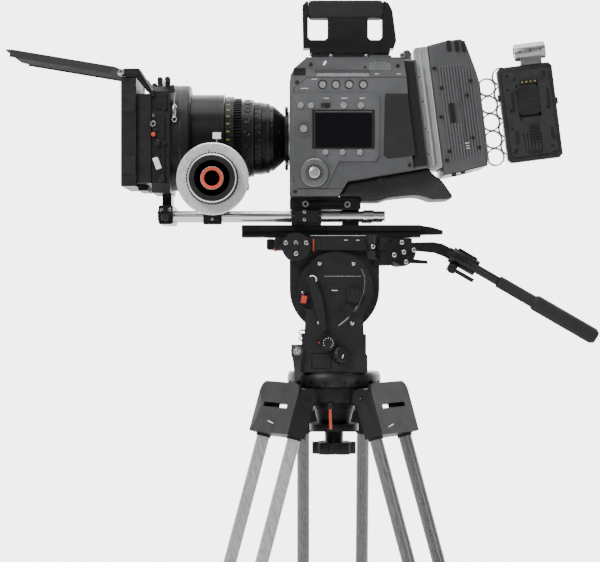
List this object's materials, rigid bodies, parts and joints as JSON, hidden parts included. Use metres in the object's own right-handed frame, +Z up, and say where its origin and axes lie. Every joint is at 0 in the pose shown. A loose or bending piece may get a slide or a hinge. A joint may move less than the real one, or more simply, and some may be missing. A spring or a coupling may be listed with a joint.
{
  "type": "cine camera on tripod",
  "caption": "Digital cine camera with lens, matte box, follow focus, docked recorder and battery plate on a fluid head and twin-tube tripod.",
  "frame": {"origin": "centre of the bounding box at floor level", "axes": "+Z up, the lens points along -X, the operator side panel faces -Y"},
  "size_m": [0.8964, 0.4784, 1.234],
  "materials": {
    "body_paint": "satin",
    "dock_metal": "satin",
    "rig_black": "satin",
    "grip_rubber": "matte",
    "foot_rubber": "matte",
    "rod_steel": "polished",
    "display_glass": "gloss",
    "button_silver": "satin",
    "dial_black": "satin",
    "mount_steel": "satin",
    "lens_black": "satin",
    "lens_coating": "gloss",
    "hood_black": "matte",
    "flag_sheet": "satin",
    "wheel_silver": "satin",
    "gear_brass": "satin",
    "bracket_white": "satin",
    "battery_black": "satin",
    "socket_silver": "satin",
    "head_paint": "satin",
    "knob_black": "satin",
    "lever_silver": "satin",
    "bar_black": "satin",
    "crown_black": "satin",
    "leg_carbon": "satin",
    "leg_metal": "satin"
  },
  "bodies": {
    "tripod": {"crown": "crown_black", "head_base": "head_paint"},
    "tie_down": {"tie_down_knob": "knob_black"},
    "pan": {"pan_housing": "head_paint"},
    "pan_brake": {"pan_brake_lever": "lever_silver"},
    "pan_drag": {"pan_drag_knob": "knob_black"},
    "balance": {"balance_knob": "knob_black"},
    "tilt_brake": {"tilt_brake_lever": "head_paint"},
    "tilt": {"tilt_body": "head_paint"},
    "pan_bar": {"pan_bar": "bar_black"},
    "pan_bar_clamp": {"pan_bar_lever": "knob_black"},
    "pan_grip": {"pan_bar_grip": "grip_rubber"},
    "camera": {"slide_plate": "rig_black", "riser_plate": "rig_black", "rod_bridge": "rig_black", "support_rods": "rod_steel", "body_shell": "body_paint", "side_panel": "body_paint", "far_panel": "body_paint", "top_plate": "body_paint", "display_window": "display_glass", "lens_mount": "mount_steel", "handle_frame": "rig_black", "handle_grip": "grip_rubber", "shoulder_pad": "grip_rubber", "dock_plate": "dock_metal", "recorder_case": "body_paint", "recorder_cover": "body_paint", "battery_bracket": "bracket_white", "battery_plate": "battery_black", "rod_socket": "socket_silver", "lens_body": "lens_black", "lens_glass": "lens_coating", "matte_hood": "hood_black", "filter_stage": "hood_black", "matte_bracket": "rig_black", "flag_bracket": "rig_black", "ff_gearbox": "rig_black"},
    "rec_key": {"rec_button": "button_silver"},
    "assign_keys": {"assign_buttons": "button_silver"},
    "menu_keys": {"menu_buttons": "button_silver"},
    "dial": {"menu_dial": "dial_black"},
    "switch": {"select_switch": "dial_black"},
    "mount_lock": {"mount_ring": "lens_black"},
    "focus": {"focus_ring": "lens_black"},
    "iris": {"iris_ring": "lens_black"},
    "tray": {"filter_tray": "hood_black"},
    "flag": {"top_flag": "flag_sheet"},
    "wheel": {"ff_wheel": "wheel_silver"},
    "drive_gear": {"ff_gear": "gear_brass"},
    "latch": {"battery_latch": "dial_black"},
    "leg_1": {"leg_upper_1": "leg_carbon"},
    "leg_1_lower": {"leg_lower_1": "leg_metal", "foot_1": "foot_rubber"},
    "leg_2": {"leg_upper_2": "leg_carbon"},
    "leg_2_lower": {"leg_lower_2": "leg_metal", "foot_2": "foot_rubber"},
    "leg_3": {"leg_upper_3": "leg_carbon"},
    "leg_3_lower": {"leg_lower_3": "leg_metal", "foot_3": "foot_rubber"}
  },
  "joints": [
    {"name": "leg_1_swing", "type": "hinge", "parent": "tripod", "child": "leg_1", "pos_m": [-0.02069, -0.09359, 0.624], "axis": [0.5, -0.866, 0], "range_deg": [0, 17]},
    {"name": "leg_1_extend", "type": "slide", "parent": "leg_1", "child": "leg_1_lower", "axis": [-0.2532, -0.1462, -0.9563], "range_m": [0, 0.36]},
    {"name": "leg_2_swing", "type": "hinge", "parent": "tripod", "child": "leg_2", "pos_m": [0.11787, -0.09359, 0.624], "axis": [0.5, 0.866, 0], "range_deg": [0, 17]},
    {"name": "leg_2_extend", "type": "slide", "parent": "leg_2", "child": "leg_2_lower", "axis": [0.2532, -0.1462, -0.9563], "range_m": [0, 0.36]},
    {"name": "leg_3_swing", "type": "hinge", "parent": "tripod", "child": "leg_3", "pos_m": [0.04859, 0.02641, 0.624], "axis": [-1, 0, 0], "range_deg": [0, 17]},
    {"name": "leg_3_extend", "type": "slide", "parent": "leg_3", "child": "leg_3_lower", "axis": [0, 0.2924, -0.9563], "range_m": [0, 0.36]},
    {"name": "tie_down_turn", "type": "hinge", "parent": "tripod", "child": "tie_down", "pos_m": [0.04859, -0.05359, 0.55], "axis": [0, 0, 1], "continuous": true},
    {"name": "pan_turn", "type": "hinge", "parent": "tripod", "child": "pan", "pos_m": [0.04859, -0.05359, 0.66], "axis": [0, 0, 1], "continuous": true},
    {"name": "tilt", "type": "hinge", "parent": "pan", "child": "tilt", "pos_m": [0.04859, -0.05359, 0.789], "axis": [0, 1, 0], "range_deg": [-60, 40]},
    {"name": "plate_slide", "type": "slide", "parent": "tilt", "child": "camera", "axis": [1, 0, 0], "range_m": [-0.05, 0.05]},
    {"name": "pan_brake_turn", "type": "hinge", "parent": "pan", "child": "pan_brake", "pos_m": [-0.00841, -0.11359, 0.695], "axis": [0, 1, 0], "range_deg": [0, 40]},
    {"name": "pan_drag_turn", "type": "hinge", "parent": "pan", "child": "pan_drag", "pos_m": [0.03859, -0.12359, 0.706], "axis": [0, 1, 0], "continuous": true},
    {"name": "balance_turn", "type": "hinge", "parent": "pan", "child": "balance", "pos_m": [0.04859, -0.11759, 0.6845], "axis": [0.554, -0.7912, 0.2588], "continuous": true},
    {"name": "tilt_brake_turn", "type": "hinge", "parent": "pan", "child": "tilt_brake", "pos_m": [0.01259, -0.12359, 0.802], "axis": [0, 1, 0], "range_deg": [0, 30]},
    {"name": "pan_bar_angle", "type": "hinge", "parent": "tilt", "child": "pan_bar", "pos_m": [0.14959, -0.13959, 0.845], "axis": [0, 1, 0], "range_deg": [-60, 10]},
    {"name": "pan_bar_clamp_turn", "type": "hinge", "parent": "pan_bar", "child": "pan_bar_clamp", "pos_m": [0.22459, -0.13959, 0.81975], "axis": [0, 1, 0], "range_deg": [0, 40]},
    {"name": "pan_bar_extend", "type": "slide", "parent": "pan_bar", "child": "pan_grip", "axis": [0.866, 0, -0.5], "range_m": [0, 0.08]},
    {"name": "rec_press", "type": "slide", "parent": "camera", "child": "rec_key", "axis": [0, 1, 0], "range_m": [0, 0.0015], "stiffness_N_per_m": 800},
    {"name": "assign_press", "type": "slide", "parent": "camera", "child": "assign_keys", "axis": [0, 1, 0], "range_m": [0, 0.0015], "stiffness_N_per_m": 800},
    {"name": "menu_press", "type": "slide", "parent": "camera", "child": "menu_keys", "axis": [0, 1, 0], "range_m": [0, 0.0015], "stiffness_N_per_m": 800},
    {"name": "dial_turn", "type": "hinge", "parent": "camera", "child": "dial", "pos_m": [0.01759, -0.15759, 0.9643], "axis": [0, 1, 0], "continuous": true},
    {"name": "switch_slide", "type": "slide", "parent": "camera", "child": "switch", "axis": [1, 0, 0], "range_m": [-0.003, 0.003]},
    {"name": "mount_lock_turn", "type": "hinge", "parent": "camera", "child": "mount_lock", "pos_m": [-0.02441, -0.05359, 1.022], "axis": [1, 0, 0], "range_deg": [0, 30]},
    {"name": "focus_turn", "type": "hinge", "parent": "camera", "child": "focus", "pos_m": [-0.10641, -0.05359, 1.022], "axis": [1, 0, 0], "range_deg": [-135, 135]},
    {"name": "iris_turn", "type": "hinge", "parent": "camera", "child": "iris", "pos_m": [-0.06841, -0.05359, 1.022], "axis": [1, 0, 0], "range_deg": [-30, 30]},
    {"name": "wheel_turn", "type": "hinge", "parent": "camera", "child": "wheel", "pos_m": [-0.13441, -0.19359, 0.9535], "axis": [0, 1, 0], "range_deg": [-540, 540]},
    {"name": "drive_gear_turn", "type": "hinge", "parent": "camera", "child": "drive_gear", "pos_m": [-0.10141, -0.11181, 0.97315], "axis": [1, 0, 0], "range_deg": [-540, 540]},
    {"name": "tray_lift", "type": "slide", "parent": "camera", "child": "tray", "axis": [0, 0, 1], "range_m": [0, 0.1]},
    {"name": "flag_angle", "type": "hinge", "parent": "camera", "child": "flag", "pos_m": [-0.27541, -0.05359, 1.115], "axis": [0, 1, 0], "range_deg": [-95, 30]},
    {"name": "latch_slide", "type": "slide", "parent": "camera", "child": "latch", "axis": [0.1271, 0, -0.9919], "range_m": [0, 0.0025], "stiffness_N_per_m": 500}
  ],
  "couplings": [
    {"joint": "drive_gear_turn", "follows": "focus_turn", "ratio": -4},
    {"joint": "wheel_turn", "follows": "focus_turn", "ratio": 4}
  ]
}
